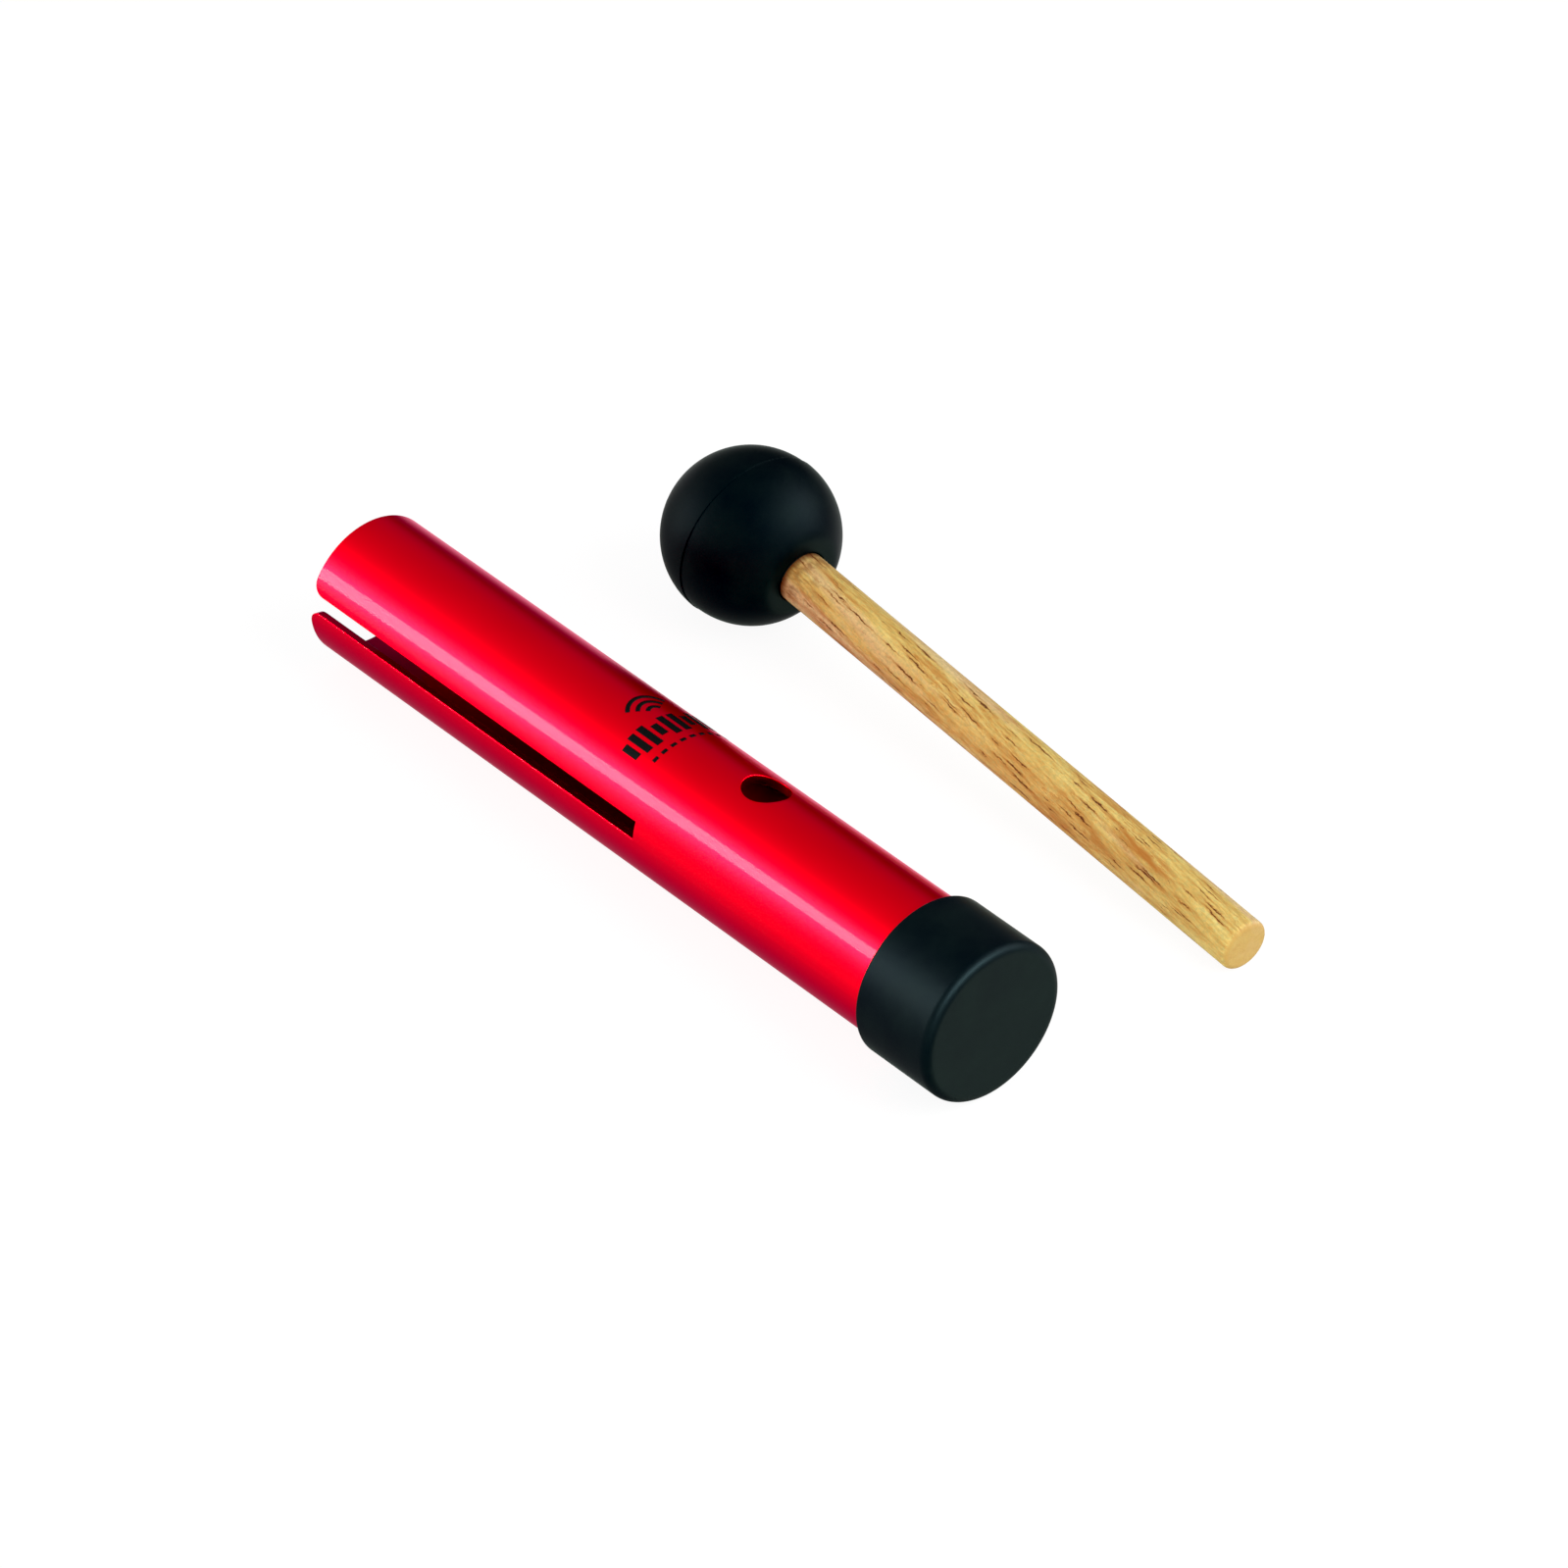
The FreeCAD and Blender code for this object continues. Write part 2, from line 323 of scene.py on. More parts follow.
# ---------------------------------------------------------------- the printed mark
INK_TOP = 0.03 * MM
INK_SUNK = 0.02 * MM
ARCS_AT = 89.6 * MM
ARC_RADII_MM = (2.0, 4.1, 6.2)
ARC_HALF_TURN = math.radians(55)
ARC_STROKE = 1.0 * MM
ARC_STEPS = 28
BARS_AT = 94.6 * MM
BARS = 10
BAR_PITCH = 2.6 * MM
BAR_WIDTH = 1.7 * MM
BAR_SHORTEST = 3.6 * MM
BAR_SWELL = 3.6 * MM
BAR_WAVE = 1.1
DASHES_AT = 100.4 * MM
DASHES = 9
DASH_PITCH = 2.5 * MM
DASH_LENGTH = 0.9 * MM
DASH_WIDTH = 1.4 * MM
BAR_STEPS = 6
INK_ROWS = 2


def ink_patch(across_steps, outline):
    """A printed patch: outline(u, v) gives (along, across) for u and v from 0 to 1."""
    faces = []
    for u in range(across_steps):
        for v in range(INK_ROWS):
            faces.append(((u, v), (u, v + 1), (u + 1, v + 1), (u + 1, v)))

    def place(node, inset, radius):
        along, across = outline(node[0] / across_steps, node[1] / INK_ROWS)
        angle = math.pi / 2 - across / TUBE_RADIUS
        return Vector((along, radius * math.cos(angle), radius * math.sin(angle)))

    return thick_shell(faces, place, [(0, TUBE_RADIUS + INK_TOP), (0, TUBE_RADIUS - INK_SUNK)])


def bar(along, across, length, width):
    def outline(u, v):
        return along + (v - 0.5) * length, across + (u - 0.5) * width
    return ink_patch(BAR_STEPS, outline)


def wave_arc(radius):
    def outline(u, v):
        turn = (2 * u - 1) * ARC_HALF_TURN
        reach = radius - (v - 0.5) * ARC_STROKE
        return ARCS_AT - reach * math.cos(turn), reach * math.sin(turn)
    return ink_patch(ARC_STEPS, outline)


def make_print(material):
    """A generic sound mark: three arcs over a row of level bars, with a row of short dashes."""
    shapes = [wave_arc(radius * MM) for radius in ARC_RADII_MM]
    for index in range(BARS):
        spot = index - (BARS - 1) / 2
        length = BAR_SHORTEST + BAR_SWELL * abs(math.cos(BAR_WAVE * spot))
        shapes.append(bar(BARS_AT, spot * BAR_PITCH, length, BAR_WIDTH))
    for index in range(DASHES):
        spot = index - (DASHES - 1) / 2
        shapes.append(bar(DASHES_AT, spot * DASH_PITCH, DASH_LENGTH, DASH_WIDTH))
    points, faces = [], []
    for shape_points, shape_faces in shapes:
        start = len(points)
        points += shape_points
        faces += [tuple(start + corner for corner in face) for face in shape_faces]
    return add_piece("tube_print", points, faces, TUBE_FRAME, material, "tube")


# ---------------------------------------------------------------- the end cap
CAP_SEGMENTS = 180
CAP_MOUTH_STEPS = 6
CAP_END_STEPS = 12
CAP_FLOOR_EDGE = 0.05 * MM
CAP_BARREL_ROWS = (0.1, 0.5, 0.95)
CAP_FACE_ROWS = (0.97, 0.9, 0.6, 0.3, 0.1)


def make_cap(material):
    """A cup round the tube's end. The rows are shares of the barrel's length and of the face's radius."""
    lip = (CAP_MOUTH + CAP_MOUTH_ROUND, CAP_RADIUS - CAP_MOUTH_ROUND)
    heel = (CAP_END - CAP_END_ROUND, CAP_RADIUS - CAP_END_ROUND)
    profile = [(TUBE_LENGTH, 0), (TUBE_LENGTH, TUBE_RADIUS - CAP_FLOOR_EDGE), (TUBE_LENGTH, TUBE_RADIUS)]
    profile += [(CAP_MOUTH + CAP_MOUTH_CHAMFER, TUBE_RADIUS), (CAP_MOUTH, TUBE_RADIUS + CAP_MOUTH_CHAMFER)]
    profile += quarter(lip, CAP_MOUTH_ROUND, 180, 90, CAP_MOUTH_STEPS)
    profile += [(CAP_MOUTH + share * (heel[0] - CAP_MOUTH), CAP_RADIUS) for share in CAP_BARREL_ROWS]
    profile += quarter(heel, CAP_END_ROUND, 90, 0, CAP_END_STEPS)
    profile += [(CAP_END, share * heel[1]) for share in CAP_FACE_ROWS]
    profile += [(CAP_END, 0)]
    points, faces = lathe(profile, CAP_SEGMENTS)
    return add_piece("end_cap_rubber", points, faces, TUBE_FRAME, material, "tube",
                     "end_cap")


# ---------------------------------------------------------------- the beater
BALL_SEGMENTS = 160
BALL_STEPS = 60
SOCKET_ROW = 2 * MM
STICK_SEGMENTS = 96
BUTT_STEPS = 8
STICK_ROWS = (0.12, 0.3, 0.5, 0.7, 0.9, 0.985)
BUTT_ROWS = (0.95, 0.6, 0.3)
NOSE_CLEARANCE = 0.02 * MM
SKIN_CLEARANCE = 0.01 * MM


def eased_flat(along):
    """How far along a place on the ball's skin is, held back to the flat round the socket.

    The hold is soft, so the flat meets the ball in a small round."""
    skin = math.exp(-along / FLAT_EASE)
    return -FLAT_EASE * math.log(skin + math.exp(-SOCKET_FLAT / FLAT_EASE))


def is_rear_skin(point):
    """Whether a point is on the ball's outside behind the parting groove, not in its socket."""
    return point.x < -0.01 * MM and point.length > 0.9 * BALL_RADIUS


def make_ball(material):
    """Two moulded halves that meet in a fine groove across the stick, one a little out of line.

    The rings crowd towards the groove, so that its edges stay crisp."""
    half_gap = PARTING_GROOVE / 2 / BALL_RADIUS
    rear_turn = math.pi / 2 - half_gap
    socket_turn = math.asin((STICK_RADIUS + SOCKET_GAP) / BALL_RADIUS)

    profile = [(-BALL_RADIUS, 0)]
    for step in range(1, BALL_STEPS + 1):
        turn = rear_turn * math.sin(math.pi / 2 * step / BALL_STEPS)
        profile.append((-BALL_RADIUS * math.cos(turn), BALL_RADIUS * math.sin(turn)))
    profile.append((0, BALL_RADIUS - GROOVE_DEPTH))
    for step in range(BALL_STEPS + 1):
        turn = rear_turn - (rear_turn - socket_turn) * (step / BALL_STEPS) ** 1.5
        profile.append((eased_flat(BALL_RADIUS * math.cos(turn)), BALL_RADIUS * math.sin(turn)))
    mouth = profile[-1][0]
    profile += [(mouth - SOCKET_LIP, STICK_RADIUS), (mouth - SOCKET_ROW, STICK_RADIUS)]
    profile += [(-STICK_DEPTH, STICK_RADIUS), (-STICK_DEPTH, 0)]
    points, faces = lathe(profile, BALL_SEGMENTS)
    slip = Vector((0, -1, 0)) * PARTING_STEP
    moved = [point + slip if is_rear_skin(point) else point for point in points]
    return add_piece("beater_ball", moved, faces, BEATER_FRAME, material, "beater",
                     "beater_head")


def make_stick(material):
    """A dowel with a rounded butt. Its nose, in the socket, is chamfered and just clear of the ball."""
    heel = (STICK_REACH - BUTT_ROUND, STICK_RADIUS - BUTT_ROUND)
    nose = -STICK_DEPTH + NOSE_CLEARANCE
    profile = [(nose, 0), (nose, STICK_RADIUS - STICK_NOSE_CHAMFER)]
    profile += [(nose + STICK_NOSE_CHAMFER, STICK_RADIUS - SKIN_CLEARANCE)]
    profile += [(STICK_REACH * share, STICK_RADIUS) for share in STICK_ROWS]
    profile += quarter(heel, BUTT_ROUND, 90, 0, BUTT_STEPS)
    profile += [(STICK_REACH, heel[1] * share) for share in BUTT_ROWS]
    profile += [(STICK_REACH, 0)]
    points, faces = lathe(profile, STICK_SEGMENTS)
    return add_piece("beater_dowel", points, faces, BEATER_FRAME, material, "beater",
                     "beater_stick")


# ---------------------------------------------------------------- node helpers
def put(tree, socket, source):
    """Feed a socket from another one, or set its own value."""
    if isinstance(source, bpy.types.NodeSocket):
        tree.links.new(source, socket)
    else:
        socket.default_value = source


def add_node(tree, kind, inputs=None, **settings):
    node = tree.nodes.new(kind)
    for key, setting in settings.items():
        setattr(node, key, setting)
    for key, source in (inputs or {}).items():
        put(tree, node.inputs[key], source)
    return node


def fill_ramp(node, stops):
    """Set a colour ramp's stops, given as (place, colour)."""
    elements = node.color_ramp.elements
    for element, (place, colour) in zip(elements, stops):
        element.position = place
        element.color = colour
    for place, colour in stops[2:]:
        elements.new(place).color = colour


def greys(stops):
    """A ramp's stops from (place, brightness) pairs."""
    return [(place, (level, level, level, 1)) for place, level in stops]


class Nodes:
    """Short names for building one node material. Places are in millimetres in a piece's own frame."""

    def __init__(self, name):
        self.material = bpy.data.materials.new(name)
        self.material.use_nodes = True
        self.tree = self.material.node_tree
        self.shader = self.tree.nodes["Principled BSDF"]
        own = self.add("ShaderNodeAttribute", attribute_name="own").outputs["Vector"]
        self.place = self.vector("MULTIPLY", own, [1 / MM] * 3)

    def add(self, kind, inputs=None, **settings):
        return add_node(self.tree, kind, inputs, **settings)

    def shade(self, **inputs):
        for key, source in inputs.items():
            put(self.tree, self.shader.inputs[key.replace("_", " ")], source)

    def vector(self, operation, first, second=(0, 0, 0), third=(0, 0, 0)):
        node = self.add("ShaderNodeVectorMath", {0: first, 1: second, 2: third}, operation=operation)
        return node.outputs["Value" if operation == "LENGTH" else "Vector"]

    def math(self, operation, first, second=0.0, third=0.0, clamp=False):
        return self.add("ShaderNodeMath", {0: first, 1: second, 2: third},
                        operation=operation, use_clamp=clamp).outputs[0]

    def along(self):
        return self.add("ShaderNodeSeparateXYZ", {0: self.place}).outputs["X"]

    def noise_node(self, scale, place=None, detail=3, roughness=0.5):
        """Noise whose grain has so many spots per millimetre along each axis."""
        return self.add("ShaderNodeTexNoise", {
            "Vector": self.vector("MULTIPLY", place or self.place, scale), "Scale": 1,
            "Detail": detail, "Roughness": roughness,
        })

    def noise(self, scale, place=None, **settings):
        return self.noise_node(scale, place, **settings).outputs["Fac"]

    def ramp(self, factor, stops):
        node = self.add("ShaderNodeValToRGB", {"Fac": factor})
        fill_ramp(node, stops)
        return node.outputs["Color"]

    def grey(self, factor, stops):
        return self.ramp(factor, greys(stops))

    def mix(self, factor, first, second, blend="MIX"):
        return self.add("ShaderNodeMix", {"Factor": factor, 6: first, 7: second},
                        data_type="RGBA", blend_type=blend).outputs[2]

    def bump(self, height, distance, strength=1.0):
        return self.add("ShaderNodeBump", {
            "Height": height, "Distance": distance, "Strength": strength,
        }).outputs["Normal"]


# ---------------------------------------------------------------- materials
def red_anodised():
    """Dyed anodised aluminium: coloured metal under a thin clear oxide, with faint draw lines.

    The skin is the brightest, the sawn and drilled walls are darker, and the bore is rough and painted
    dark to stand for the shade inside the tube."""
    nodes = Nodes("red_anodised")
    lines = nodes.noise((0.012, 2.6, 2.6), detail=4)
    cloud = nodes.noise((0.05, 0.09, 0.09), detail=2)
    skin = nodes.mix(cloud, (0.88, 0.0003, 0.0100, 1), (0.97, 0.0005, 0.0120, 1))
    radius = nodes.vector("LENGTH", nodes.vector("MULTIPLY", nodes.place, (0, 1, 1)))
    outside = nodes.grey(nodes.math("SUBTRACT", TUBE_RADIUS / MM, radius), [(0.25, 1), (0.35, 0)])
    inside = nodes.grey(nodes.math("SUBTRACT", radius, BORE_RADIUS / MM), [(0.1, 1), (0.3, 0)])
    cut = nodes.mix(outside, (0.46, 0.0003, 0.014, 1), skin)
    # Painted shade: the bore gets a dark red that stands for the shade inside the tube, not a colour of
    # its own.
    tone = nodes.mix(inside, cut, (0.20, 0.0003, 0.020, 1))
    gloss = nodes.math("MULTIPLY_ADD", lines, 0.05, 0.32)
    nodes.shade(Base_Color=tone, Metallic=1.0, Normal=nodes.bump(lines, 0.0015 * MM),
                Roughness=nodes.math("MULTIPLY_ADD", inside, 0.25, gloss))
    nodes.shade(Specular_Tint=(1.0, 0.47, 0.84, 1), Coat_Weight=0.12, Coat_Roughness=0.022, Coat_IOR=1.5)
    return nodes.material


def black_rubber():
    """Moulded rubber: nearly black with a green-blue cast, a soft bloom and a fine skin."""
    nodes = Nodes("black_rubber")
    bloom = nodes.noise((0.09, 0.09, 0.09), detail=4, roughness=0.6)
    grain = nodes.noise((5.0, 5.0, 5.0), detail=3)
    tone = nodes.ramp(bloom, [(0.3, (0.0025, 0.0031, 0.0050, 1)), (0.7, (0.0048, 0.0074, 0.0078, 1))])
    nodes.shade(Base_Color=tone, Normal=nodes.bump(grain, 0.02 * MM, 0.5),
                Roughness=nodes.math("MULTIPLY_ADD", bloom, 0.12, 0.43))
    nodes.shade(Specular_IOR_Level=0.05, Specular_Tint=(0.52, 0.93, 1.0, 1))
    nodes.shade(Sheen_Weight=0.13, Sheen_Roughness=0.22, Sheen_Tint=(0.76, 1.0, 0.84, 1))
    return nodes.material


def black_ink():
    """Flat black ink with a little wear in its tone."""
    nodes = Nodes("black_ink")
    wear = nodes.noise((2.5, 2.5, 2.5), detail=4)
    tone = nodes.ramp(wear, [(0.25, (0.003, 0.004, 0.004, 1)), (0.8, (0.007, 0.008, 0.008, 1))])
    nodes.shade(Base_Color=tone, Roughness=nodes.math("MULTIPLY_ADD", wear, 0.15, 0.50))
    nodes.shade(Specular_IOR_Level=0.05)
    return nodes.material


# The wood, in millimetres and in slopes. A crack's cell is its length and its spacing.
GRAIN_LEAN = (0, 0.08, 0.06)
GRAIN_SHAKE = (0, 1.6, 1.6)
SKIN_LEAN = 0.07
SKIN_SHAKE = 1.5
CRACK_CELL = (19.0, 0.9)
STAIN_END = 31.2
STAIN_FADE = 12.0
MOUTH_SHADE = 1.6


def unrolled_skin(nodes):
    """The dowel's skin laid flat, in millimetres along it and round it, a little askew and shaken.

    The seam is on the underside."""
    split = nodes.add("ShaderNodeSeparateXYZ", {0: nodes.place})
    turn = nodes.math("ARCTAN2", split.outputs["Y"], split.outputs["Z"])
    across = nodes.math("MULTIPLY", turn, STICK_RADIUS / MM)
    leaned = nodes.math("MULTIPLY_ADD", split.outputs["X"], SKIN_LEAN, across)
    shake = nodes.noise((0.40, 0.9, 0.9), detail=5, roughness=0.65)
    shaken = nodes.math("MULTIPLY_ADD", shake, SKIN_SHAKE, leaned)
    return nodes.add("ShaderNodeCombineXYZ", {"X": split.outputs["X"], "Y": shaken}).outputs[0]


def crack_distance(nodes, skin):
    """How far a place in the skin is from the nearest of many thin cracks, each of its own length."""
    cells = nodes.vector("DIVIDE", skin, (*CRACK_CELL, 1))
    nearest = nodes.add("ShaderNodeTexVoronoi", {"Vector": cells, "Scale": 1}, voronoi_dimensions="2D")
    chance = nodes.add("ShaderNodeSeparateXYZ", {0: nearest.outputs["Color"]}).outputs["X"]
    return nodes.math("DIVIDE", nearest.outputs["Distance"], chance)


def golden_wood(nodes, grain, streak, fibre):
    """The sound wood: gold to brown with its streaks, rosier in broad patches, and speckled."""
    broad = nodes.noise((0.014, 0.15, 0.15), grain, detail=3)
    speckle = nodes.noise((1.1, 1.6, 1.6), detail=3, roughness=0.8)
    depth = nodes.math("MULTIPLY_ADD", fibre, 0.30, nodes.math("MULTIPLY", streak, 0.40))
    depth = nodes.math("MULTIPLY_ADD", speckle, 0.30, depth)
    golden = nodes.ramp(depth, [(0.38, (0.84, 0.70, 0.25, 1)), (0.45, (0.78, 0.60, 0.185, 1)),
                                (0.51, (0.70, 0.48, 0.130, 1)), (0.57, (0.60, 0.35, 0.088, 1)),
                                (0.66, (0.44, 0.21, 0.043, 1))])
    rosy = nodes.grey(broad, [(0.50, 0), (0.60, 0.65)])
    base = nodes.mix(rosy, golden, (0.79, 0.585, 0.32, 1))
    return nodes.mix(1.0, base, nodes.grey(speckle, [(0.36, 0.71), (0.60, 1.03)]), "MULTIPLY")


def stained_and_shaded_wood(nodes, along, wood):
    """The wood with the dark stain near the head, painted shade just past the ball's mouth where the ball
    shades the stick, and a paler butt.
    """
    near_head = nodes.math("MULTIPLY_ADD", along, -1 / STAIN_FADE, STAIN_END / STAIN_FADE, clamp=True)
    smear = nodes.grey(nodes.noise((0.28, 0.8, 0.8), detail=4), [(0.44, 0.08), (0.60, 0.62)])
    stained = nodes.mix(nodes.math("MULTIPLY", near_head, smear), wood, (0.19, 0.045, 0.009, 1))
    # Painted shade: the wood darkens over the first 1.6 mm past the ball's mouth, standing in for the
    # shade the ball casts there.
    past_mouth = nodes.math("SUBTRACT", along, SOCKET_FLAT / MM)
    mouth_painted_shade = nodes.grey(nodes.math("DIVIDE", past_mouth, MOUTH_SHADE), [(0.1, 0.85), (1.0, 0)])
    stained = nodes.mix(mouth_painted_shade, stained, (0.12, 0.030, 0.008, 1))
    past_round = nodes.math("SUBTRACT", along, (STICK_REACH - BUTT_ROUND) / MM)
    end_face = nodes.grey(past_round, [(0.5, 0), (1.1, 0.8)])
    return nodes.mix(end_face, stained, (0.56, 0.33, 0.090, 1))


def pale_wood():
    """A turned dowel whose grain runs a little askew: pale gold, mottled and cut by fine brown cracks."""
    nodes = Nodes("pale_wood")
    along = nodes.along()
    grain = nodes.vector("MULTIPLY_ADD", along, GRAIN_LEAN, nodes.place)
    shake = nodes.noise_node((0.16, 0.45, 0.45), grain, detail=4).outputs["Color"]
    ragged = nodes.vector("MULTIPLY_ADD", shake, GRAIN_SHAKE, grain)
    streak = nodes.noise((0.035, 0.50, 0.50), ragged, detail=5, roughness=0.65)
    fibre = nodes.noise((0.30, 2.4, 2.4), grain, detail=4, roughness=0.7)
    mottled = golden_wood(nodes, grain, streak, fibre)

    skin = unrolled_skin(nodes)
    from_crack = crack_distance(nodes, skin)
    contour = nodes.math("ABSOLUTE", nodes.math("SUBTRACT", nodes.noise((0.05, 0.8, 1), skin), 0.5))
    patches = nodes.grey(nodes.noise((0.03, 0.25, 0.25), grain, detail=2), [(0.42, 0), (0.54, 1)])
    hairline = nodes.math("MULTIPLY", nodes.grey(contour, [(0.0, 0.80), (0.022, 0)]), patches)
    halo = nodes.grey(from_crack, [(0.14, 0.70), (0.55, 0)])
    blush = nodes.math("MULTIPLY", patches, nodes.grey(streak, [(0.46, 0), (0.66, 0.8)]))
    brown = nodes.math("MAXIMUM", nodes.math("MAXIMUM", halo, hairline), blush)
    browned = nodes.mix(brown, mottled, (0.45, 0.155, 0.022, 1))
    cracks = nodes.grey(from_crack, [(0.12, 0.95), (0.22, 0)])
    cracked = nodes.mix(cracks, browned, (0.11, 0.024, 0.006, 1))

    nodes.shade(Base_Color=stained_and_shaded_wood(nodes, along, cracked),
                Roughness=nodes.math("MULTIPLY_ADD", fibre, 0.15, 0.50),
                Normal=nodes.bump(nodes.math("MULTIPLY_ADD", cracks, -1.0, fibre), 0.05 * MM, 0.7))
    nodes.shade(Specular_IOR_Level=0.2)
    return nodes.material


def pale_floor():
    """A floor that gives most of its own light, so that shadows on it stay faint."""
    nodes = Nodes("pale_floor")
    mottle = nodes.noise((0.002, 0.002, 0.002), detail=3)
    nodes.shade(Base_Color=nodes.mix(mottle, (0.10, 0.10, 0.10, 1), (0.12, 0.12, 0.12, 1)), Roughness=1.0)
    nodes.shade(Specular_IOR_Level=0.0, Emission_Color=(1, 1, 1, 1), Emission_Strength=0.92)
    return nodes.material


# ---------------------------------------------------------------- floor
FLOOR_SIZE = 12.0


def make_floor():
    """A plain floor that only the camera sees: the studio's own light comes from below as well."""
    half = FLOOR_SIZE / 2
    corners = ((-half, -half), (half, -half), (half, half), (-half, half))
    points = [Vector((*corner, 0)) for corner in corners]
    floor = add_mesh("floor", points, [(0, 1, 2, 3)], Matrix.Identity(4), pale_floor())
    floor.visible_diffuse = False
    floor.visible_glossy = False
    floor.visible_shadow = False


# ---------------------------------------------------------------- lights
LAMP_DISTANCE = 1.2
GLINT_FALLOFF = [(0.0, 1.0), (0.230, 1.0), (0.250, 0.17), (0.5, 0.10), (0.75, 0.03), (1.0, 0.0)]
BOUNCE_TINT = (0.70, 1.0, 0.68)


def add_softbox(name, towards, size, watts, turn=0, glossy_only=False, pieces=None):
    """A rectangular softbox that faces the object, its long side along X before its turn in degrees.

    A glossy-only box shows as a reflection and lights nothing else. Pieces are the only ones it lights."""
    light = bpy.data.lights.new(name, "AREA")
    light.shape = "RECTANGLE"
    light.size, light.size_y = size
    light.energy = watts
    lamp = bpy.data.objects.new(name, light)
    outward = Vector(towards).normalized()
    side = Vector((1, 0, 0))
    side = (side - outward * side.dot(outward)).normalized()
    faced = Matrix((side, outward.cross(side), outward)).transposed().to_4x4()
    spin = Matrix.Rotation(math.radians(turn), 4, "Z")
    lamp.matrix_world = Matrix.Translation(outward * LAMP_DISTANCE) @ faced @ spin
    lamp.visible_camera = False
    lamp.visible_diffuse = not glossy_only
    bpy.context.scene.collection.objects.link(lamp)
    if pieces:
        lit = bpy.data.collections.new(name + "_lit")
        for piece in pieces:
            lit.objects.link(piece)
        lamp.light_linking.receiver_collection = lit
    return lamp


def add_glint_falloff(light):
    """A hot core along the middle of the strip, with a glow that dies away towards its long sides."""
    light.use_nodes = True
    tree = light.node_tree
    spot = add_node(tree, "ShaderNodeNewGeometry").outputs["Parametric"]
    across = add_node(tree, "ShaderNodeSeparateXYZ", {0: spot}).outputs["Y"]
    centred = add_node(tree, "ShaderNodeMath", {0: across, 1: 2, 2: -1}, operation="MULTIPLY_ADD")
    from_middle = add_node(tree, "ShaderNodeMath", {0: centred.outputs[0]}, operation="ABSOLUTE")
    ramp = add_node(tree, "ShaderNodeValToRGB", {"Fac": from_middle.outputs[0]})
    fill_ramp(ramp, greys(GLINT_FALLOFF))
    put(tree, tree.nodes["Emission"].inputs["Strength"], ramp.outputs["Color"])


def make_lights(tube_pieces, cap, ball):
    """Soft boxes all round. Each reflection that the photograph has on one piece has a box of its own."""
    glint = add_softbox("glint_strip", (-0.594, -0.707, 0.384), (0.9, 0.8), 77, turn=40,
                        glossy_only=True, pieces=tube_pieces)
    add_glint_falloff(glint.data)
    add_softbox("side_box", (0.72, 0.25, 0.64), (0.9, 0.9), 10)
    add_softbox("back_box", (0.47, 0.72, 0.50), (0.8, 0.8), 18, glossy_only=True)
    add_softbox("rim_glint", (0.78, -0.05, 0.52), (0.35, 1.5), 74, glossy_only=True, pieces=[cap])
    bounce = add_softbox("floor_bounce", (0.594, 0.515, -0.618), (0.9, 0.9), 3.3)
    bounce.data.color = BOUNCE_TINT
    add_softbox("ball_glow", (-0.739, -0.617, 0.197), (0.8, 0.8), 8, glossy_only=True, pieces=[ball])
    low_fill = add_softbox("low_fill", (0.1, -1.0, -0.1), (0.9, 0.9), 6.5)
    low_fill.visible_glossy = False


# How bright the studio is all the way round the tube, by the turn from +Y over the top, in degrees.
STUDIO = [
    (-180, 1.05), (-158, 0.90), (-134, 0.62), (-118, 0.41), (-98, 0.31), (-74, 0.30), (-62, 0.50),
    (-50, 1.0), (-34, 1.1), (-22, 1.0), (-13, 0.55), (-6, 0.02), (11, 0.02), (18, 0.23),
    (24, 0.40), (46, 0.44), (70, 0.56), (94, 0.66), (118, 0.78), (180, 1.1),
]
STUDIO_PEAK = 1.1
BACKDROP = (0.97, 0.97, 0.97, 1)


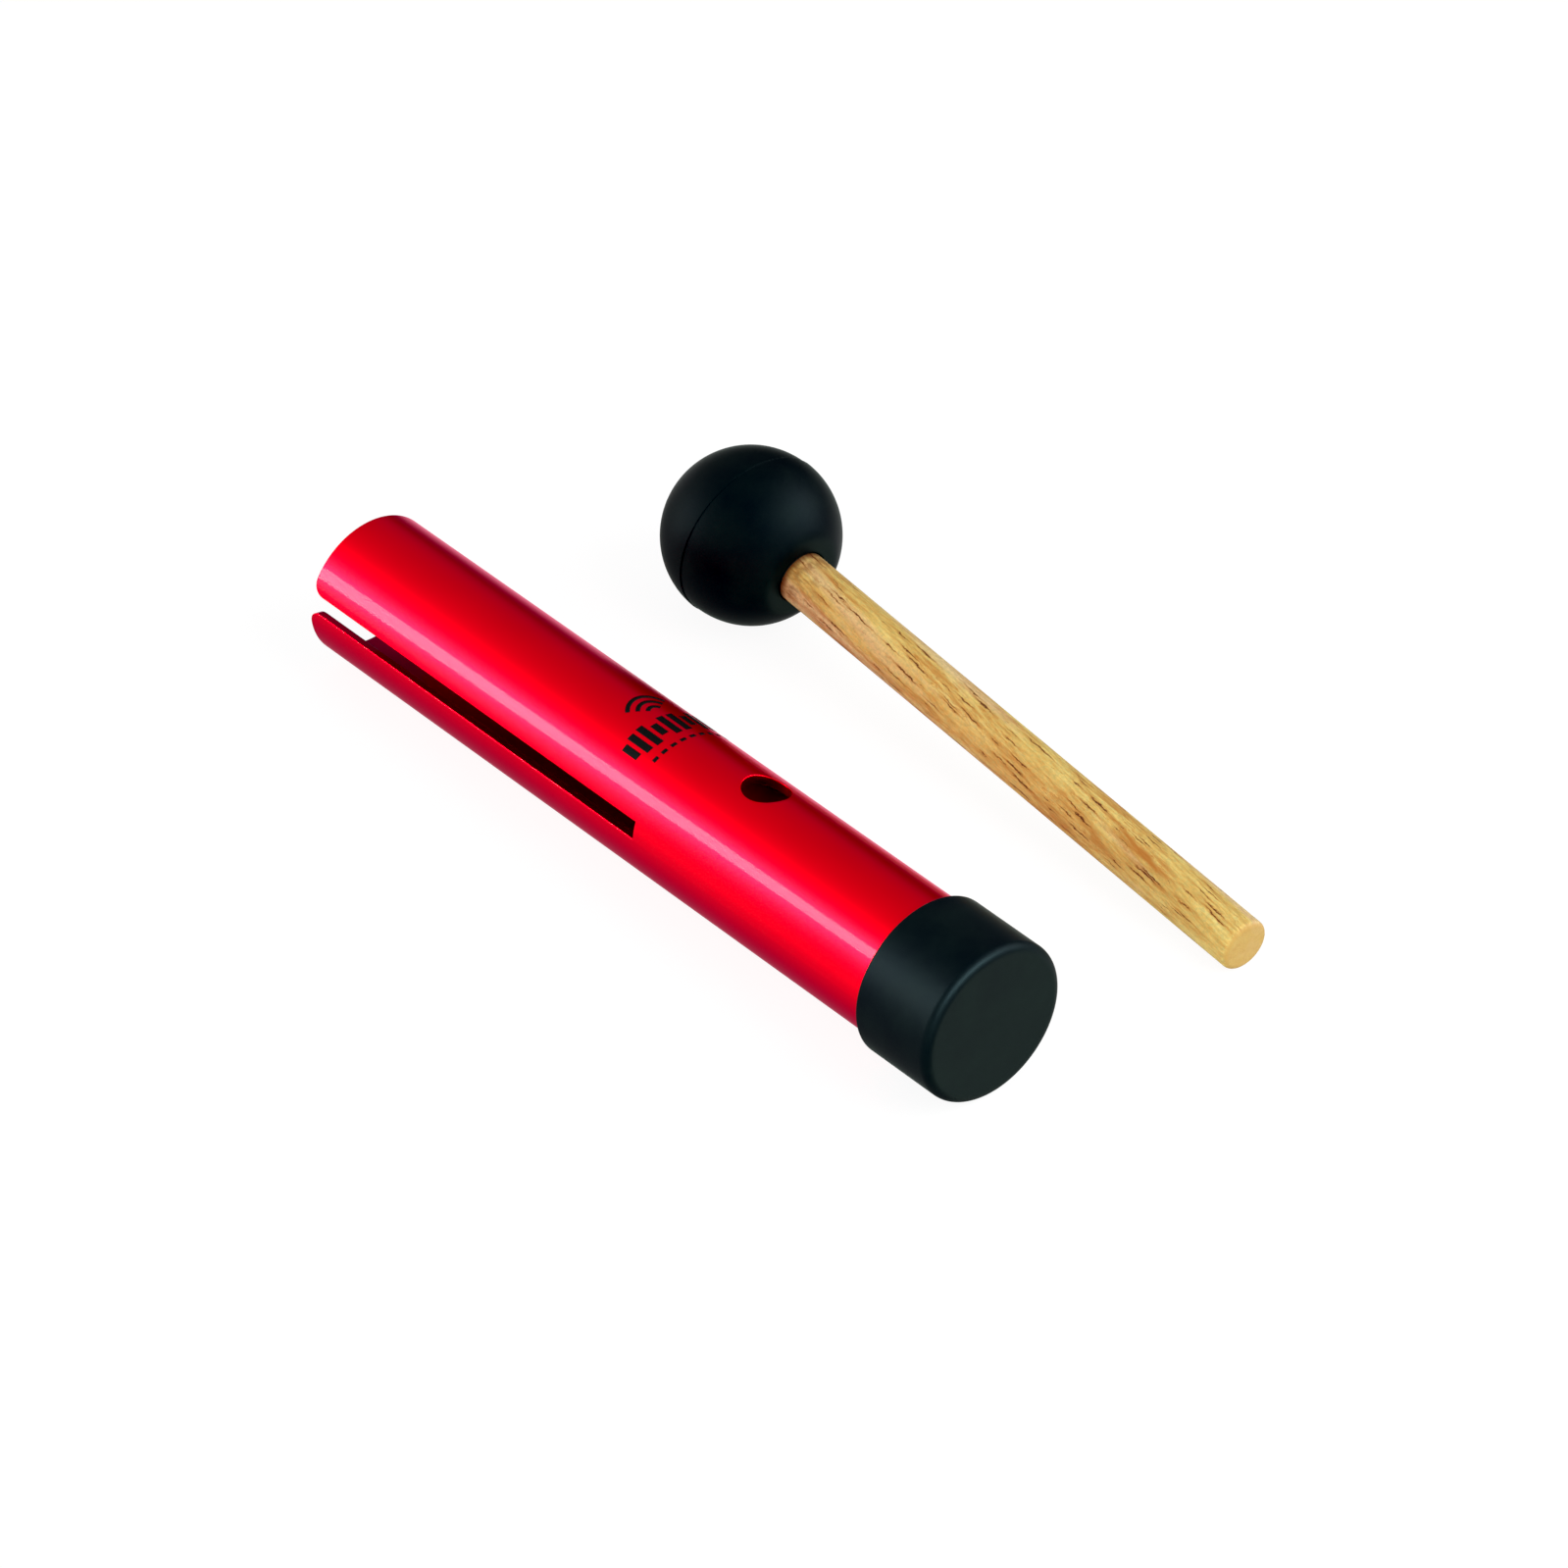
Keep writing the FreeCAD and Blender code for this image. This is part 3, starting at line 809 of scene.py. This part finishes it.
def make_sky():
    """A studio that is bright on the near side and falls off towards the far horizon.

    The camera sees the plain backdrop in its place."""
    world = bpy.data.worlds.new("studio")
    world.use_nodes = True
    tree = world.node_tree
    towards = add_node(tree, "ShaderNodeTexCoord").outputs["Generated"]
    split = add_node(tree, "ShaderNodeSeparateXYZ", {0: towards})
    turn = add_node(tree, "ShaderNodeMath", {0: split.outputs["Z"], 1: split.outputs["Y"]},
                    operation="ARCTAN2")
    share = add_node(tree, "ShaderNodeMath", {0: turn.outputs[0], 1: 0.5 / math.pi, 2: 0.5},
                     operation="MULTIPLY_ADD")
    ramp = add_node(tree, "ShaderNodeValToRGB", {"Fac": share.outputs[0]})
    fill_ramp(ramp, greys([((degrees + 180) / 360, level / STUDIO_PEAK) for degrees, level in STUDIO]))
    studio = tree.nodes["Background"]
    put(tree, studio.inputs["Color"], ramp.outputs["Color"])
    put(tree, studio.inputs["Strength"], STUDIO_PEAK)
    plain = add_node(tree, "ShaderNodeBackground", {"Color": BACKDROP})
    seen = add_node(tree, "ShaderNodeLightPath").outputs["Is Camera Ray"]
    mix = add_node(tree, "ShaderNodeMixShader", {0: seen, 1: studio.outputs[0], 2: plain.outputs[0]})
    put(tree, tree.nodes["World Output"].inputs["Surface"], mix.outputs[0])
    bpy.context.scene.world = world


# ---------------------------------------------------------------- camera and tones
CAMERA_AZIMUTH = math.radians(49.08)
CAMERA_ELEVATION = math.radians(38.14)
CAMERA_DISTANCE = 1.804
CAMERA_AIM = Vector((-0.0068, -0.0007, 0))
CAMERA_LENS = 200.9
CAMERA_SENSOR = 36
CAMERA_REACH = (0.05, 50)
BLACK_LEVEL = 0.006


def make_camera():
    """A long lens that looks down over the capped end, from the tube's side."""
    data = bpy.data.cameras.new("camera")
    data.lens = CAMERA_LENS
    data.sensor_width = CAMERA_SENSOR
    data.clip_start, data.clip_end = CAMERA_REACH
    camera = bpy.data.objects.new("camera", data)
    level = math.cos(CAMERA_ELEVATION)
    back = Vector((math.sin(CAMERA_AZIMUTH) * level, -math.cos(CAMERA_AZIMUTH) * level,
                   math.sin(CAMERA_ELEVATION)))
    camera.location = CAMERA_AIM + back * CAMERA_DISTANCE
    camera.rotation_mode = "QUATERNION"
    camera.rotation_quaternion = (-back).to_track_quat("-Z", "Y")
    bpy.context.scene.collection.objects.link(camera)
    bpy.context.scene.camera = camera


def set_tones():
    """Plain colours with slightly deep blacks, as in a catalogue print."""
    tones = bpy.context.scene.view_settings
    tones.view_transform = "Standard"
    tones.use_curve_mapping = True
    tones.curve_mapping.black_level = [BLACK_LEVEL] * 3
    tones.curve_mapping.update()


# ---------------------------------------------------------------- build
rubber = black_rubber()
cap = make_cap(rubber)
tube_pieces = [make_tube(red_anodised()), make_print(black_ink()), cap]
ball = make_ball(rubber)
make_stick(pale_wood())
make_floor()
make_lights(tube_pieces, cap, ball)
make_sky()
make_camera()
set_tones()
